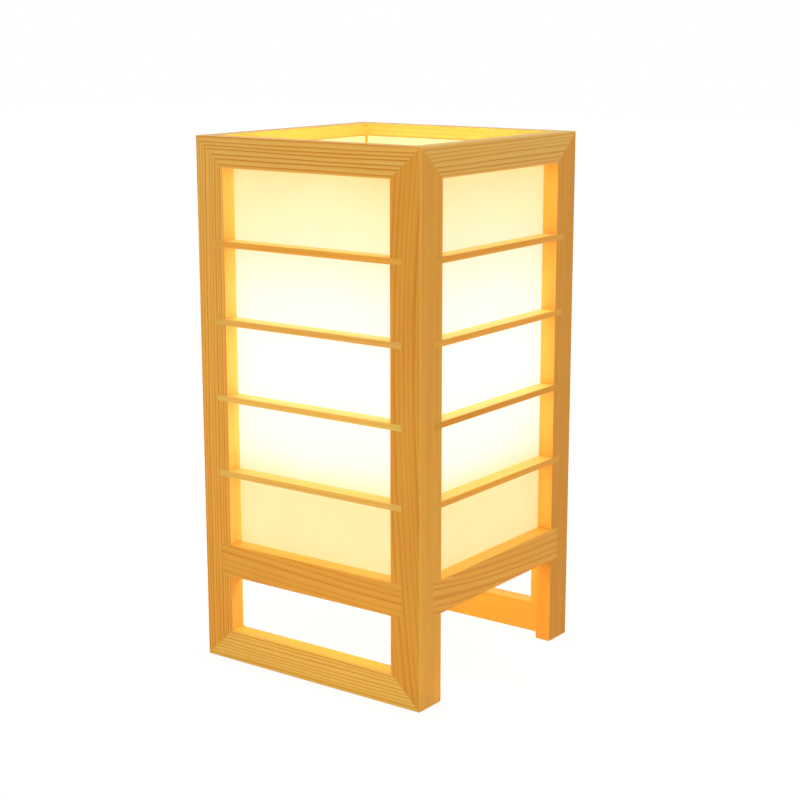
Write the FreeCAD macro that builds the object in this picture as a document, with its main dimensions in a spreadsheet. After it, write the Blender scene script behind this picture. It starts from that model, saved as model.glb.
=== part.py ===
import FreeCAD, Part
import math
import os
import Sketcher

# Square wooden table lamp in the shoji manner. Four lattice frames of flat sticks are mitred
# together at the corners into an open-topped case. The front and back frames are closed by a
# bottom rail, and the side frames run down as legs. A translucent sheet is glued behind each
# frame. A crossbar between the side mid rails carries a screw lampholder and its bulb.
#
# Millimetres, +Z up, origin on the table under the middle of the lamp. The front frame faces -Y
# and the right frame faces +X.

doc = FreeCAD.newDocument("table_lamp")
sheet = doc.addObject("Spreadsheet::Sheet", "Sizes")

# Driving dimensions, one cell each.
SIZES = {
    # case
    "width": 180,
    "depth": 180,
    "height": 356,
    "stick_thickness": 11,
    "stile_width": 23,
    "top_rail_height": 20,
    "mid_rail_bottom": 60,
    "mid_rail_height": 22.4,
    "bottom_rail_height": 21.5,
    "bar_height": 4.2,
    "let_in": 8.5,
    "eased_edge": 0.8,
    # translucent sheets
    "sheet_thickness": 0.5,
    "sheet_top_inset": 9,
    "sheet_overlap": 6,
    "sheet_corner_gap": 2,
    # crossbar
    "crossbar_width": 40,
    "crossbar_thickness": 15,
    "crossbar_housing": 4,
    # threaded tube, washer and nut
    "tube_radius": 5,
    "tube_bore_radius": 4,
    "tube_proud": 2,
    "tube_thread_in_cap": 9,
    "thread_play": 0.1,
    "washer_radius": 9,
    "washer_thickness": 1.2,
    "nut_across_flats": 14,
    "nut_height": 4,
    # lampholder
    "holder_radius": 19,
    "holder_wall": 2,
    "holder_play": 0.25,
    "cap_edge": 2,
    "cap_floor": 6,
    "cap_shoulder_height": 16,
    "cap_neck_height": 6,
    "block_thickness": 6,
    "skirt_height": 42,
    "skirt_lip": 1,
    "shell_wall": 0.5,
    "shell_height": 26,
    "shell_flange": 5,
    "contact_thickness": 0.5,
    "contact_width": 5,
    "contact_reach": 4.5,
    "contact_rise": 4,
    # bulb
    "bulb_thread_radius": 13.2,
    "bulb_thread_play": 0.35,
    "bulb_seat_gap": 0.2,
    "bulb_tip_radius": 4.5,
    "bulb_tip_height": 1.5,
    "bulb_insulator_height": 3.5,
    "bulb_cap_taper": 2,
    "bulb_rim_gap": 0.5,
    "bulb_collar_radius": 14.5,
    "bulb_radius": 19,
    "bulb_flare_height": 12,
    "bulb_housing_height": 20,
    "bulb_end_round": 11,
    "bulb_length": 125,
}
for row, (alias, number) in enumerate(SIZES.items(), start=1):
    sheet.set(f"A{row}", alias)
    sheet.set(f"B{row}", str(number))
    sheet.setAlias(f"B{row}", alias)
doc.recompute()

BARS_PER_FRAME = 4
HEX_SIDES = 6
FULL_TURN = 360


class Size:
    """A length: its present value and the formula on the sheet that gives it."""

    def __init__(self, value, formula):
        self.value = value
        self.formula = formula

    def __add__(self, other):
        other = as_size(other)
        return Size(self.value + other.value, f"({self.formula} + {other.formula})")

    def __sub__(self, other):
        other = as_size(other)
        return Size(self.value - other.value, f"({self.formula} - {other.formula})")

    def __mul__(self, other):
        other = as_size(other)
        return Size(self.value * other.value, f"({self.formula} * {other.formula})")

    def __truediv__(self, other):
        other = as_size(other)
        return Size(self.value / other.value, f"({self.formula} / {other.formula})")

    def __neg__(self):
        return Size(-self.value, f"(0 - {self.formula})")


def as_size(number):
    return number if isinstance(number, Size) else Size(number, f"({number})")


def size(alias):
    return Size(float(sheet.get(alias)), f"Sizes.{alias}")


ZERO = as_size(0)
# How far a cutting outline runs past the wood that it cuts.
CUT_PAST = as_size(2)

# Heights and places that several pieces share.
width, depth, height = size("width"), size("depth"), size("height")
thickness, stile_width = size("stick_thickness"), size("stile_width")
let_in, eased_edge = size("let_in"), size("eased_edge")
bar_height = size("bar_height")
bottom_rail_top = size("bottom_rail_height")
mid_rail_bottom, mid_rail_height = size("mid_rail_bottom"), size("mid_rail_height")
mid_rail_top = mid_rail_bottom + mid_rail_height
opening_top = height - size("top_rail_height")
pane_height = (opening_top - mid_rail_top - bar_height * BARS_PER_FRAME) / (BARS_PER_FRAME + 1)
bar_pitch = pane_height + bar_height
crossbar_width = size("crossbar_width")
crossbar_thickness, crossbar_housing = size("crossbar_thickness"), size("crossbar_housing")
crossbar_top = mid_rail_bottom + crossbar_thickness

sub_parts = []


def bind(thing, prop, length):
    thing.setExpression(prop, length.formula)


def place(thing, x=ZERO, y=ZERO, z=ZERO, angle=0):
    """Turns a sub-part about the vertical and puts its own origin at x, y, z."""
    turn = FreeCAD.Rotation(FreeCAD.Vector(0, 0, 1), angle)
    thing.Placement = FreeCAD.Placement(FreeCAD.Vector(x.value, y.value, z.value), turn)
    for axis, length in (("x", x), ("y", y), ("z", z)):
        bind(thing, f"Placement.Base.{axis}", length)


def new_body(label):
    body = doc.addObject("PartDesign::Body", label)
    body.Label = label
    sub_parts.append(body)
    return body


def origin_feature(body, role):
    return next(f for f in body.Origin.OriginFeatures if f.Role == role)


def new_sketch(body, name, plane):
    drawing = body.newObject("Sketcher::SketchObject", name)
    drawing.AttachmentSupport = [(origin_feature(body, plane), "")]
    drawing.MapMode = "FlatFace"
    return drawing


# How a sketch numbers a curve's points and its own origin.
CURVE_START, CURVE_END, CURVE_CENTRE = 1, 2, 3
SKETCH_ORIGIN = (-1, 1)


def pin_point(drawing, curve, point, x, y):
    """Holds one point of a curve at x, y from the sketch's origin."""
    for direction, length in (("DistanceX", x), ("DistanceY", y)):
        rule = Sketcher.Constraint(direction, *SKETCH_ORIGIN, curve, point, length.value)
        bind(drawing, f"Constraints[{drawing.addConstraint(rule)}]", length)


def draw_outline(drawing, corners):
    """A closed outline of straight sides through the given corners."""
    first_side = drawing.GeometryCount
    count = len(corners)
    points = [FreeCAD.Vector(x.value, y.value, 0) for x, y in corners]
    for i in range(count):
        drawing.addGeometry(Part.LineSegment(points[i], points[(i + 1) % count]), False)
    for i, (x, y) in enumerate(corners):
        here, after = first_side + i, first_side + (i + 1) % count
        drawing.addConstraint(Sketcher.Constraint("Coincident", here, CURVE_END, after, CURVE_START))
        pin_point(drawing, here, CURVE_START, x, y)


def box_corners(x_low, x_high, y_low, y_high):
    return [(x_low, y_low), (x_high, y_low), (x_high, y_high), (x_low, y_high)]


def pad(body, name, plane, outlines, length, reverse=False, both_ways=False):
    drawing = new_sketch(body, f"{name}_sketch", plane)
    for corners in outlines:
        draw_outline(drawing, corners)
    feature = body.newObject("PartDesign::Pad", name)
    feature.Profile = drawing
    feature.Reversed = reverse
    feature.SideType = "Symmetric" if both_ways else "One side"
    bind(feature, "Length", length)
    return feature


def pocket(body, name, plane, outlines, length=None, reverse=False):
    """A cut of the given depth, or right through the body where no depth is given."""
    drawing = new_sketch(body, f"{name}_sketch", plane)
    for corners in outlines:
        draw_outline(drawing, corners)
    return cut(body, name, drawing, length, reverse)


def cut(body, name, drawing, length=None, reverse=False):
    feature = body.newObject("PartDesign::Pocket", name)
    feature.Profile = drawing
    if length is None:
        feature.Type = "ThroughAll"
        feature.SideType = "Symmetric"
    else:
        feature.Reversed = reverse
        bind(feature, "Length", length)
    return feature


def round_hole(body, name, radius):
    """A vertical hole right through the body, on its own axis."""
    drawing = new_sketch(body, f"{name}_sketch", "XY_Plane")
    circle = Part.Circle(FreeCAD.Vector(0, 0, 0), FreeCAD.Vector(0, 0, 1), radius.value)
    curve = drawing.addGeometry(circle, False)
    pin_point(drawing, curve, CURVE_CENTRE, ZERO, ZERO)
    rule = Sketcher.Constraint("Radius", curve, radius.value)
    bind(drawing, f"Constraints[{drawing.addConstraint(rule)}]", radius)
    return cut(body, name, drawing)


def turned(label, profile, z):
    """A piece turned about the vertical from its half profile, radius then height."""
    body = new_body(label)
    drawing = new_sketch(body, f"{label}_profile", "XZ_Plane")
    draw_outline(drawing, profile)
    feature = body.newObject("PartDesign::Revolution", f"{label}_turning")
    feature.Profile = drawing
    feature.ReferenceAxis = (drawing, ["V_Axis"])
    feature.Angle = FULL_TURN
    place(body, z=z)
    return body


class Frame:
    """One of the four lattice frames, drawn flat: x along the face, y inwards from its outer face."""

    def __init__(self, name, angle, span, reach, ends, has_bottom_rail):
        self.name = name
        self.angle = angle
        self.sine = round(math.sin(math.radians(angle)))
        self.cosine = round(math.cos(math.radians(angle)))
        self.half_span = span / 2
        self.half_opening = span / 2 - stile_width
        self.reach = reach / 2
        self.ends = ends
        self.has_bottom_rail = has_bottom_rail

    def put(self, body, z=ZERO):
        place(body, self.reach * self.sine, self.reach * -self.cosine, z, self.angle)

    def corner_mitre(self, side):
        """Plan of what the 45 degree corner mitre and the eased outer edge take off one end."""
        half_edge = eased_edge / 2
        deep = thickness + CUT_PAST
        from_corner = [
            (eased_edge + CUT_PAST, -CUT_PAST),
            (half_edge, half_edge),
            (deep, deep),
            (-CUT_PAST, deep),
            (-CUT_PAST, -CUT_PAST),
        ]
        return [((self.half_span - x) * side, y) for x, y in from_corner]

    def stile(self, side, end):
        """An upright: mitred to the rails, bevelled to the next frame, slotted for rail and bars."""
        body = new_body(f"{self.name}_{end}_stile")
        outer, inner = self.half_span * side, self.half_opening * side
        slot_end = (self.half_opening + let_in) * side
        slot_mouth = (self.half_opening - CUT_PAST) * side
        foot = bottom_rail_top if self.has_bottom_rail else ZERO
        face = [(outer, ZERO), (inner, foot), (inner, opening_top), (outer, height)]
        pad(body, "upright", "XZ_Plane", [face], thickness, reverse=True)
        pocket(body, "corner_mitre", "XY_Plane", [self.corner_mitre(side)])
        rail_slot = box_corners(slot_mouth, slot_end, mid_rail_bottom, mid_rail_top)
        pocket(body, "rail_slot", "XZ_Plane", [rail_slot])
        first_bar = mid_rail_top + pane_height
        bar_slot = box_corners(slot_mouth, slot_end, first_bar, first_bar + bar_height)
        first_slot = pocket(body, "bar_slot", "XZ_Plane", [bar_slot])
        doc.recompute()
        slots = body.newObject("PartDesign::LinearPattern", "bar_slots")
        slots.Originals = [first_slot]
        slots.Direction = (origin_feature(body, "Z_Axis"), [""])
        slots.Occurrences = BARS_PER_FRAME
        bind(slots, "Length", bar_pitch * (BARS_PER_FRAME - 1))
        body.Tip = slots
        self.put(body)

    def mitred_rail(self, label, outer_z, inner_z):
        """A top or bottom rail: its ends meet the stiles and the next frame's rail in one point."""
        body = new_body(f"{self.name}_{label}")
        face = [
            (-self.half_span, outer_z),
            (self.half_span, outer_z),
            (self.half_opening, inner_z),
            (-self.half_opening, inner_z),
        ]
        pad(body, "rail", "XZ_Plane", [face], thickness, reverse=True)
        pocket(body, "corner_mitres", "XY_Plane", [self.corner_mitre(side) for side in (-1, 1)])
        self.put(body)

    def let_in_stick(self, label, stick_height, z):
        """A rail or bar whose ends lie in the stiles' slots, flush with both faces."""
        body = new_body(f"{self.name}_{label}")
        half_length = self.half_opening + let_in
        face = box_corners(-half_length, half_length, ZERO, stick_height)
        pad(body, "stick", "XZ_Plane", [face], thickness, reverse=True)
        self.put(body, z)
        return body

    def build_sheet(self):
        """The translucent sheet glued to the frame's inner face."""
        panel = doc.addObject("Part::Box", f"{self.name}_sheet")
        panel.Label = panel.Name
        sub_parts.append(panel)
        half_width = self.half_span - thickness - size("sheet_corner_gap")
        low = mid_rail_top - size("sheet_overlap")
        bind(panel, "Length", half_width * 2)
        bind(panel, "Width", size("sheet_thickness"))
        bind(panel, "Height", height - size("sheet_top_inset") - low)
        inset = self.reach - thickness
        corner_x = half_width * -self.cosine + inset * self.sine
        corner_y = half_width * -self.sine + inset * -self.cosine
        place(panel, corner_x, corner_y, low, self.angle)

    def build(self):
        for side, end in zip((-1, 1), self.ends):
            self.stile(side, end)
        self.mitred_rail("top_rail", height, opening_top)
        mid_rail = self.let_in_stick("mid_rail", mid_rail_height, mid_rail_bottom)
        if self.has_bottom_rail:
            self.mitred_rail("bottom_rail", ZERO, bottom_rail_top)
        else:
            house_crossbar(mid_rail)
        for number in range(1, BARS_PER_FRAME + 1):
            z = opening_top - bar_pitch * number
            self.let_in_stick(f"bar_{number}", bar_height, z)
        self.build_sheet()


def house_crossbar(mid_rail):
    """Cuts the blind housing for the crossbar's end, open at the mid rail's underside."""
    half_width = crossbar_width / 2
    housing = box_corners(-half_width, half_width, thickness - crossbar_housing, thickness + CUT_PAST)
    pocket(mid_rail, "crossbar_housing", "XY_Plane", [housing], crossbar_thickness, reverse=True)


FRAMES = (
    Frame("front", 0, width, depth, ("left", "right"), True),
    Frame("right", 90, depth, width, ("front", "back"), False),
    Frame("back", 180, width, depth, ("right", "left"), True),
    Frame("left", 270, depth, width, ("back", "front"), False),
)
for frame in FRAMES:
    frame.build()

# Crossbar: a batten housed in the side mid rails, bored for the threaded tube.
tube_radius, thread_play = size("tube_radius"), size("thread_play")
tube_hole_radius = tube_radius + thread_play * 2
crossbar = new_body("crossbar")
half_length = width / 2 - thickness + crossbar_housing
plan = box_corners(-half_length, half_length, -(crossbar_width / 2), crossbar_width / 2)
pad(crossbar, "batten", "XY_Plane", [plan], crossbar_thickness)
round_hole(crossbar, "tube_hole", tube_hole_radius)
place(crossbar, z=mid_rail_bottom)

# Washer, nut and threaded tube under and through the crossbar. The tube is open from end to end.
washer_thickness, nut_height = size("washer_thickness"), size("nut_height")
washer_bottom = mid_rail_bottom - washer_thickness
nut_bottom = washer_bottom - nut_height
tube_bottom = nut_bottom - size("tube_proud")
tube_top = crossbar_top + size("tube_thread_in_cap")

washer_ring = box_corners(tube_hole_radius, size("washer_radius"), ZERO, washer_thickness)
turned("tube_washer", washer_ring, washer_bottom)

nut = new_body("tube_nut")
nut_corner = size("nut_across_flats") / (2 * math.cos(math.pi / HEX_SIDES))
turns = [2 * math.pi * i / HEX_SIDES for i in range(HEX_SIDES)]
hexagon = [(nut_corner * math.cos(a), nut_corner * math.sin(a)) for a in turns]
pad(nut, "hexagon", "XY_Plane", [hexagon], nut_height)
round_hole(nut, "nut_bore", tube_radius + thread_play)
place(nut, z=nut_bottom)

tube_wall = box_corners(size("tube_bore_radius"), tube_radius, ZERO, tube_top - tube_bottom)
turned("threaded_tube", tube_wall, tube_bottom)

# Lampholder cap: a cup that screws on the tube and clamps the crossbar. Its neck takes the skirt and
# carries the contact block.
holder_radius, holder_wall = size("holder_radius"), size("holder_wall")
holder_play = size("holder_play")
cap_edge, cap_floor = size("cap_edge"), size("cap_floor")
cap_shoulder = size("cap_shoulder_height")
neck_top = cap_shoulder + size("cap_neck_height")
neck_radius = holder_radius - holder_wall
cavity_radius = neck_radius - holder_wall
cap_bore = tube_radius + thread_play
cap_profile = [
    (cap_bore, ZERO),
    (holder_radius - cap_edge, ZERO),
    (holder_radius, cap_edge),
    (holder_radius, cap_shoulder),
    (neck_radius, cap_shoulder),
    (neck_radius, neck_top),
    (cavity_radius, neck_top),
    (cavity_radius, cap_floor),
    (cap_bore, cap_floor),
]
turned("holder_cap", cap_profile, crossbar_top)

# Contact block: a disc on the cap's neck, held down by the skirt's step.
block_thickness = size("block_thickness")
block_top = neck_top + block_thickness
block_disc = box_corners(ZERO, neck_radius - holder_play, ZERO, block_thickness)
turned("contact_block", block_disc, crossbar_top + neck_top)

# Screw shell: the thin metal liner that takes the bulb's thread, on a flange on the block.
bulb_thread_radius = size("bulb_thread_radius")
shell_wall = size("shell_wall")
shell_bore = bulb_thread_radius + size("bulb_thread_play")
shell_radius = shell_bore + shell_wall
shell_profile = [
    (shell_radius - size("shell_flange"), ZERO),
    (shell_radius, ZERO),
    (shell_radius, size("shell_height")),
    (shell_bore, size("shell_height")),
    (shell_bore, shell_wall),
    (shell_radius - size("shell_flange"), shell_wall),
]
turned("screw_shell", shell_profile, crossbar_top + block_top)

# Centre contact: a bent leaf on the block whose tongue meets the bulb's end contact.
leaf, reach = size("contact_thickness"), size("contact_reach")
contact_rise = size("contact_rise")
leaf_profile = [
    (-reach, ZERO),
    (reach, ZERO),
    (reach, contact_rise),
    (-reach, contact_rise),
    (-reach, contact_rise - leaf),
    (reach - leaf, contact_rise - leaf),
    (reach - leaf, leaf),
    (-reach, leaf),
]
contact = new_body("centre_contact")
pad(contact, "leaf", "XZ_Plane", [leaf_profile], size("contact_width"), both_ways=True)
place(contact, z=crossbar_top + block_top)

# Skirt: the outer sleeve round the screw shell. It screws over the cap's neck down to the shoulder,
# and its inner step clamps the contact block. The rim's outer edge is sloped off.
skirt_height, skirt_lip = size("skirt_height"), size("skirt_lip")
skirt_bore = shell_radius + holder_play
step_height = block_top - cap_shoulder
skirt_profile = [
    (neck_radius + holder_play, ZERO),
    (holder_radius, ZERO),
    (holder_radius, skirt_height - skirt_lip),
    (holder_radius - skirt_lip, skirt_height),
    (skirt_bore, skirt_height),
    (skirt_bore, step_height),
    (neck_radius + holder_play, step_height),
]
turned("holder_skirt", skirt_profile, crossbar_top + cap_shoulder)

# Bulb, from its end contact up. It stands on the centre contact and its collar clears the skirt.
bulb_bottom = crossbar_top + block_top + contact_rise + size("bulb_seat_gap")
tip_radius, tip_height = size("bulb_tip_radius"), size("bulb_tip_height")
tip_profile = box_corners(ZERO, tip_radius, ZERO, tip_height)
turned("bulb_end_contact", tip_profile, bulb_bottom)

insulator_height, cap_taper = size("bulb_insulator_height"), size("bulb_cap_taper")
thread_root_radius = bulb_thread_radius - cap_taper
insulator_profile = [
    (ZERO, ZERO),
    (tip_radius, ZERO),
    (thread_root_radius, insulator_height),
    (ZERO, insulator_height),
]
turned("bulb_insulator", insulator_profile, bulb_bottom + tip_height)

screw_cap_bottom = bulb_bottom + tip_height + insulator_height
collar_bottom = crossbar_top + cap_shoulder + skirt_height + size("bulb_rim_gap")
screw_cap_height = collar_bottom - screw_cap_bottom
screw_cap_profile = [
    (ZERO, ZERO),
    (thread_root_radius, ZERO),
    (bulb_thread_radius, cap_taper),
    (bulb_thread_radius, screw_cap_height),
    (ZERO, screw_cap_height),
]
turned("bulb_screw_cap", screw_cap_profile, screw_cap_bottom)

# The housing flares from the collar to the diffuser, which is as wide. The diffuser's end is rounded
# off in two slopes that meet half-way round.
bulb_radius, end_round = size("bulb_radius"), size("bulb_end_round")
half_way = end_round * (1 - math.cos(math.pi / 4))
housing_height = size("bulb_housing_height")
housing_profile = [
    (ZERO, ZERO),
    (size("bulb_collar_radius"), ZERO),
    (bulb_radius, size("bulb_flare_height")),
    (bulb_radius, housing_height),
    (ZERO, housing_height),
]
turned("bulb_housing", housing_profile, collar_bottom)

diffuser_bottom = collar_bottom + housing_height
diffuser_height = bulb_bottom + size("bulb_length") - diffuser_bottom
diffuser_profile = [
    (ZERO, ZERO),
    (bulb_radius, ZERO),
    (bulb_radius, diffuser_height - end_round),
    (bulb_radius - half_way, diffuser_height - half_way),
    (bulb_radius - end_round, diffuser_height),
    (ZERO, diffuser_height),
]
turned("bulb_diffuser", diffuser_profile, diffuser_bottom)

doc.recompute()

faults = [thing.Name for thing in doc.Objects if {"Invalid", "Error"} & set(thing.State)]
faults += [p.Label for p in sub_parts if p.Shape.isNull() or not p.Shape.isValid()]
if faults:
    raise RuntimeError(f"not built: {faults}")

os.makedirs("parts", exist_ok=True)
for sub_part in sub_parts:
    sub_part.Shape.exportStep(f"parts/{sub_part.Label}.step")
print(f"{len(sub_parts)} sub-parts written")
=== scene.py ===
import math
import random
from collections import namedtuple

import bpy
from mathutils import Matrix, Vector


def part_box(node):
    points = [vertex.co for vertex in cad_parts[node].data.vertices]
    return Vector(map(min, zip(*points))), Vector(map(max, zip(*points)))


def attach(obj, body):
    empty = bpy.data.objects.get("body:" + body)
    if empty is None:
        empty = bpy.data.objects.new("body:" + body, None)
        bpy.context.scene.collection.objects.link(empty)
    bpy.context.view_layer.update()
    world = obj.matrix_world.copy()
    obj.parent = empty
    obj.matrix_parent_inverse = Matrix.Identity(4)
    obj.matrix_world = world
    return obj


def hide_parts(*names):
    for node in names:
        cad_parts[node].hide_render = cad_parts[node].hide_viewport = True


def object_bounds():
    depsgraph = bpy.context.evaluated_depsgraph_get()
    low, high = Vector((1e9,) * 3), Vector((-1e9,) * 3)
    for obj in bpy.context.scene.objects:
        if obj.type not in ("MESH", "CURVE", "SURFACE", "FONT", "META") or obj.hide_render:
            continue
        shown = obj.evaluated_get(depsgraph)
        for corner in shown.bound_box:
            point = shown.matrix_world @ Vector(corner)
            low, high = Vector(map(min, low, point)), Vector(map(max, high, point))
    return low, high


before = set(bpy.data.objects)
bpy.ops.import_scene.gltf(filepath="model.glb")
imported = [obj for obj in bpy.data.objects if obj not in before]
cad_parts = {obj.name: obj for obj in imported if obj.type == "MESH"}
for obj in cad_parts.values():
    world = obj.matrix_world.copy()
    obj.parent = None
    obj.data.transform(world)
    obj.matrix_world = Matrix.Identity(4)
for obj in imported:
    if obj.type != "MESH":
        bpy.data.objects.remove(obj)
cad_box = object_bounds()

# Stiles: the uprights of the four frames, planed pine 23 by 11 mm under satin lacquer. They are
# mitred to the rails and to the next frame's stile, slotted for the mid rail and bars, and glued.
# Each is drawn in the front frame's place and turned round the case to its own.
MM = 0.001
EASED_EDGE = 0.12 * MM
CORNER_ARRIS = 0.8 * MM
SAW_LIMIT = 0.0001 * MM
case_half = cad_box[1].x
case_top = cad_box[1].z


def take_up(piece):
    """Makes a piece the only one selected, and the active one."""
    bpy.ops.object.select_all(action="DESELECT")
    piece.select_set(True)
    bpy.context.view_layer.objects.active = piece


def named(piece, name):
    """Gives a piece and its mesh the same name."""
    piece.name = piece.data.name = name
    return piece


def blank(name, low, high):
    """A squared-up block between two corners."""
    bpy.ops.object.select_all(action="DESELECT")
    bpy.ops.mesh.primitive_cube_add(size=1, location=(low + high) / 2, scale=high - low)
    bpy.ops.object.transform_apply(location=True, rotation=True, scale=True)
    return named(bpy.context.object, name)


def saw(piece, point, waste):
    """Cuts a piece on a plane through point, and takes off the side that waste points to."""
    take_up(piece)
    bpy.ops.object.mode_set(mode="EDIT")
    bpy.ops.mesh.select_all(action="SELECT")
    bpy.ops.mesh.bisect(
        plane_co=point, plane_no=waste, use_fill=True, clear_outer=True, threshold=SAW_LIMIT)
    bpy.ops.object.mode_set(mode="OBJECT")


def combine(piece, tool, how):
    """Cuts a piece with a tool, joins the two, or keeps what they share, and puts the tool away."""
    take_up(piece)
    change = piece.modifiers.new("change", "BOOLEAN")
    change.operation = how
    change.object = tool
    bpy.ops.object.modifier_apply(modifier=change.name)
    bpy.data.objects.remove(tool)


def ease_edges(piece, width=EASED_EDGE):
    take_up(piece)
    edge = piece.modifiers.new("eased_edges", "BEVEL")
    edge.width = width
    edge.segments = 2
    edge.limit_method = "ANGLE"
    bpy.ops.object.modifier_apply(modifier=edge.name)


def mitre_to_next_frame(piece, side):
    """The 45 degree corner of the case on one end, and the arris that is planed off it."""
    saw(piece, (0, 0, 0), (side, 1, 0))
    saw(piece, (side * (case_half - CORNER_ARRIS), -case_half, 0), (side, -1, 0))


def mitre_line(rail, side):
    """Where a stile and a rail of the front frame meet: a point, and the direction to the rail."""
    rail_low, rail_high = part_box(rail)
    at_top = rail_high.z > case_top / 2
    outer = Vector((side * case_half, 0, case_top if at_top else 0))
    inner = Vector((side * opening_half, 0, rail_low.z if at_top else rail_high.z))
    run = inner - outer
    return outer, Vector((-side * abs(run.z), 0, abs(run.x) if at_top else -abs(run.x)))


opening_half = -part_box("front_left_stile")[1].x
LET_IN_STICKS = ("mid_rail", "bar_1", "bar_2", "bar_3", "bar_4")
SLOT_PAST = 2 * MM


def stile_pattern(side, has_foot_mitre):
    low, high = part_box("front_left_stile")
    ends = sorted((side * case_half, side * opening_half))
    stile = blank("stile_pattern", Vector((ends[0], low.y, low.z)), Vector((ends[1], high.y, high.z)))
    saw(stile, *mitre_line("front_top_rail", side))
    if has_foot_mitre:
        saw(stile, *mitre_line("front_bottom_rail", side))
    mitre_to_next_frame(stile, side)
    for stick in LET_IN_STICKS:
        slot_low, slot_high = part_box(f"front_{stick}")
        across = sorted((side * (opening_half - SLOT_PAST), side * slot_high.x))
        slot = blank(
            "slot",
            Vector((across[0], slot_low.y - SLOT_PAST, slot_low.z)),
            Vector((across[1], slot_high.y + SLOT_PAST, slot_high.z)),
        )
        combine(stile, slot, "DIFFERENCE")
    ease_edges(stile)
    return stile


# How a stick was sawn from the log: the ring width, where the heart lies from the stick's middle,
# how the heart leans across and dives behind the face along the stick, how the rings bow (per metre),
# how dark they are on the face, the wood's tone on the face and on the sides, from pale (0) through
# straw, honey and amber to russet (1), and how the face's tone drifts along the stick (per metre). On
# the sides and the back the rings show only faintly.
Sawn = namedtuple("Sawn", "ring heart_across heart_behind lean dive bow dark tone side_tone drift")
RAIL_CUT = Sawn(2.7 * MM, -170 * MM, 30 * MM, 0.004, 0.0, 0.0, 1.35, 0.28, 0.28, 0.0)
SIDE_RAIL_CUT = RAIL_CUT._replace(dark=0.92, tone=0.32)
FOOT_CUT = Sawn(2.5 * MM, 190 * MM, 40 * MM, 0.003, 0.0, 0.0, 1.25, 0.05, 0.58, 0.0)
STILE_CUT = Sawn(2.4 * MM, -170 * MM, 30 * MM, 0.004, 0.0, 0.02, 1.1, 0.56, 0.5, -1.0)
POST_CUT = Sawn(3.1 * MM, -60 * MM, 40 * MM, -0.022, 0.0, 0.32, 0.62, 0.78, 0.58, 0.0)
FINE_CUT = Sawn(1.9 * MM, 120 * MM, 60 * MM, 0.004, 0.01, 0.0, 0.45, 0.65, 0.58, 0.4)
FAR_CUT = Sawn(1.9 * MM, 120 * MM, 60 * MM, 0.004, 0.01, 0.0, 0.58, 0.82, 0.68, -0.2)
MID_RAIL_CUT = Sawn(4.0 * MM, 66 * MM, 36 * MM, -0.07, 0.04, 0.2, 0.66, 0.61, 0.6, 0.0)
SIDE_MID_RAIL_CUT = Sawn(4.0 * MM, 66 * MM, 36 * MM, -0.1, 0.0, 0.55, 0.85, 0.58, 0.7, 0.0)
BAR_CUT = Sawn(1.9 * MM, 120 * MM, 60 * MM, 0.01, 0.01, 0.0, 0.35, 0.6, 0.2, 0.0)
FACE_DEPTH = 0.05 * MM
SIDE_SHARE = 0.18
SHADE_SPREAD = 0.05
SQUARE_FACE = 0.99


def add_attribute(piece, name, kind, domain, values):
    attribute = piece.data.attributes.new(name, kind, domain)
    attribute.data.foreach_set("vector" if kind == "FLOAT_VECTOR" else "value", values)


def show_grain(piece, along, across, sawn, seed):
    """Gives each point its place among the growth rings, the piece its tone, and its slanting faces, the
    eased edges and the planed arris, the mask of a painted highlight.
    """
    draw = random.Random(seed)
    ring = sawn.ring * draw.uniform(0.94, 1.06)
    lean = sawn.lean * draw.uniform(0.8, 1.2)
    dive = sawn.dive * draw.uniform(0.8, 1.2)
    behind = 3 - along - across
    points = [v.co.copy() for v in piece.data.vertices]
    middle = sum(points, Vector()) / len(points)
    rings = []
    for point in points:
        place = point - middle
        length = place[along]
        rings += (
            length,
            (place[across] - sawn.heart_across - lean * length) / ring,
            (place[behind] - sawn.heart_behind - dive * length) / ring,
        )
    start, shift = draw.uniform(0, 50), draw.uniform(-SHADE_SPREAD, SHADE_SPREAD)
    face = min(point[behind] for point in points) + FACE_DEPTH
    stick = []
    for point in points:
        if point[behind] < face:
            stick += start, sawn.dark, sawn.tone + shift + sawn.drift * (point - middle)[along]
        else:
            stick += start, sawn.dark * SIDE_SHARE, sawn.side_tone + shift
    add_attribute(piece, "rings", "FLOAT_VECTOR", "POINT", rings)
    add_attribute(piece, "stick", "FLOAT_VECTOR", "POINT", stick)
    add_attribute(piece, "bow", "FLOAT", "POINT", [sawn.bow / ring] * len(points))
    # Painted highlight: the slanting faces of the eased edges and the planed arris are marked to be drawn
    # lighter.
    slanting = [float(max(map(abs, side.normal)) < SQUARE_FACE) for side in piece.data.polygons]
    add_attribute(piece, "painted_highlight", "FLOAT", "FACE", slanting)


def add_node(tree, kind, inputs=(), **settings):
    """A shader node with its own settings, and its inputs set to values or linked to outputs."""
    made = tree.nodes.new(f"ShaderNode{kind}")
    for name, value in settings.items():
        setattr(made, name, value)
    for socket, value in dict(inputs).items():
        if isinstance(value, bpy.types.NodeSocket):
            tree.links.new(value, made.inputs[socket])
        else:
            made.inputs[socket].default_value = value
    return made


def maths(tree, operation, *values):
    return add_node(tree, "Math", enumerate(values), operation=operation).outputs[0]


def blend_colours(tree, share, first, second, how="MIX"):
    inputs = {0: share, 6: first, 7: second}
    return add_node(tree, "Mix", inputs, data_type="RGBA", blend_type=how).outputs[2]


def colour_ramp(tree, value, stops):
    """Colours at places from 0 to 1, in order, with even blends between them."""
    made = add_node(tree, "ValToRGB", {0: value})
    ends = made.color_ramp.elements
    for end, (position, colour) in zip((ends[0], ends[1]), (stops[0], stops[-1])):
        end.position, end.color = position, colour
    for position, colour in stops[1:-1]:
        ends.new(position).color = colour
    return made.outputs["Color"]


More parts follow.
